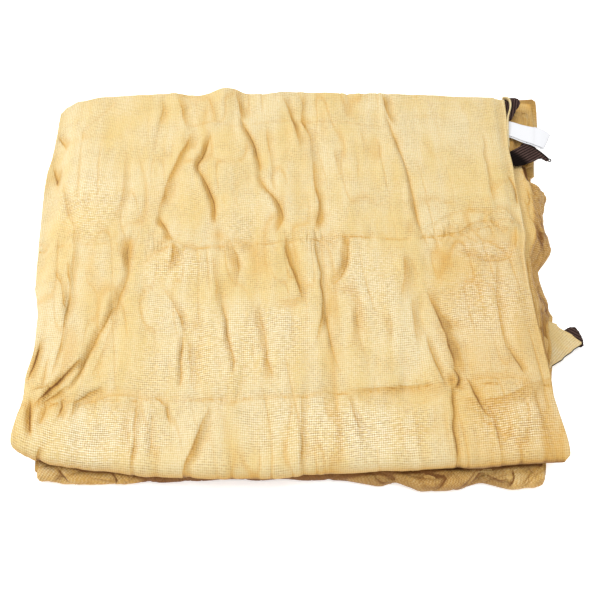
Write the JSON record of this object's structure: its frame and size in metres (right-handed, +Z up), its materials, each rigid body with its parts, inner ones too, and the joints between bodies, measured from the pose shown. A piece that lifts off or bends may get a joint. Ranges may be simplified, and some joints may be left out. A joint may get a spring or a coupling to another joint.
{
  "type": "folded shade sail",
  "caption": "Shade sail of yellow knitted cloth, folded back and forth into a flat bundle, with dark webbing and a blank label at one corner.",
  "frame": {"origin": "on the ground under the middle of the folded bundle", "axes": "+X to the right along the bundle's longest side, +Y from the rounded front fold to the back, +Z up through the layers"},
  "size_m": [0.5382, 0.4744, 0.0445],
  "materials": {
    "cloth": "knitted polyethylene, slightly shiny strands",
    "webbing": "ribbed woven webbing, matt",
    "label": "smooth woven tape"
  },
  "bodies": {
    "root": {"sail_cloth": "cloth", "edge_strap": "webbing", "corner_webbing": "webbing", "corner_patch": "webbing", "label": "label"}
  },
  "joints": []
}
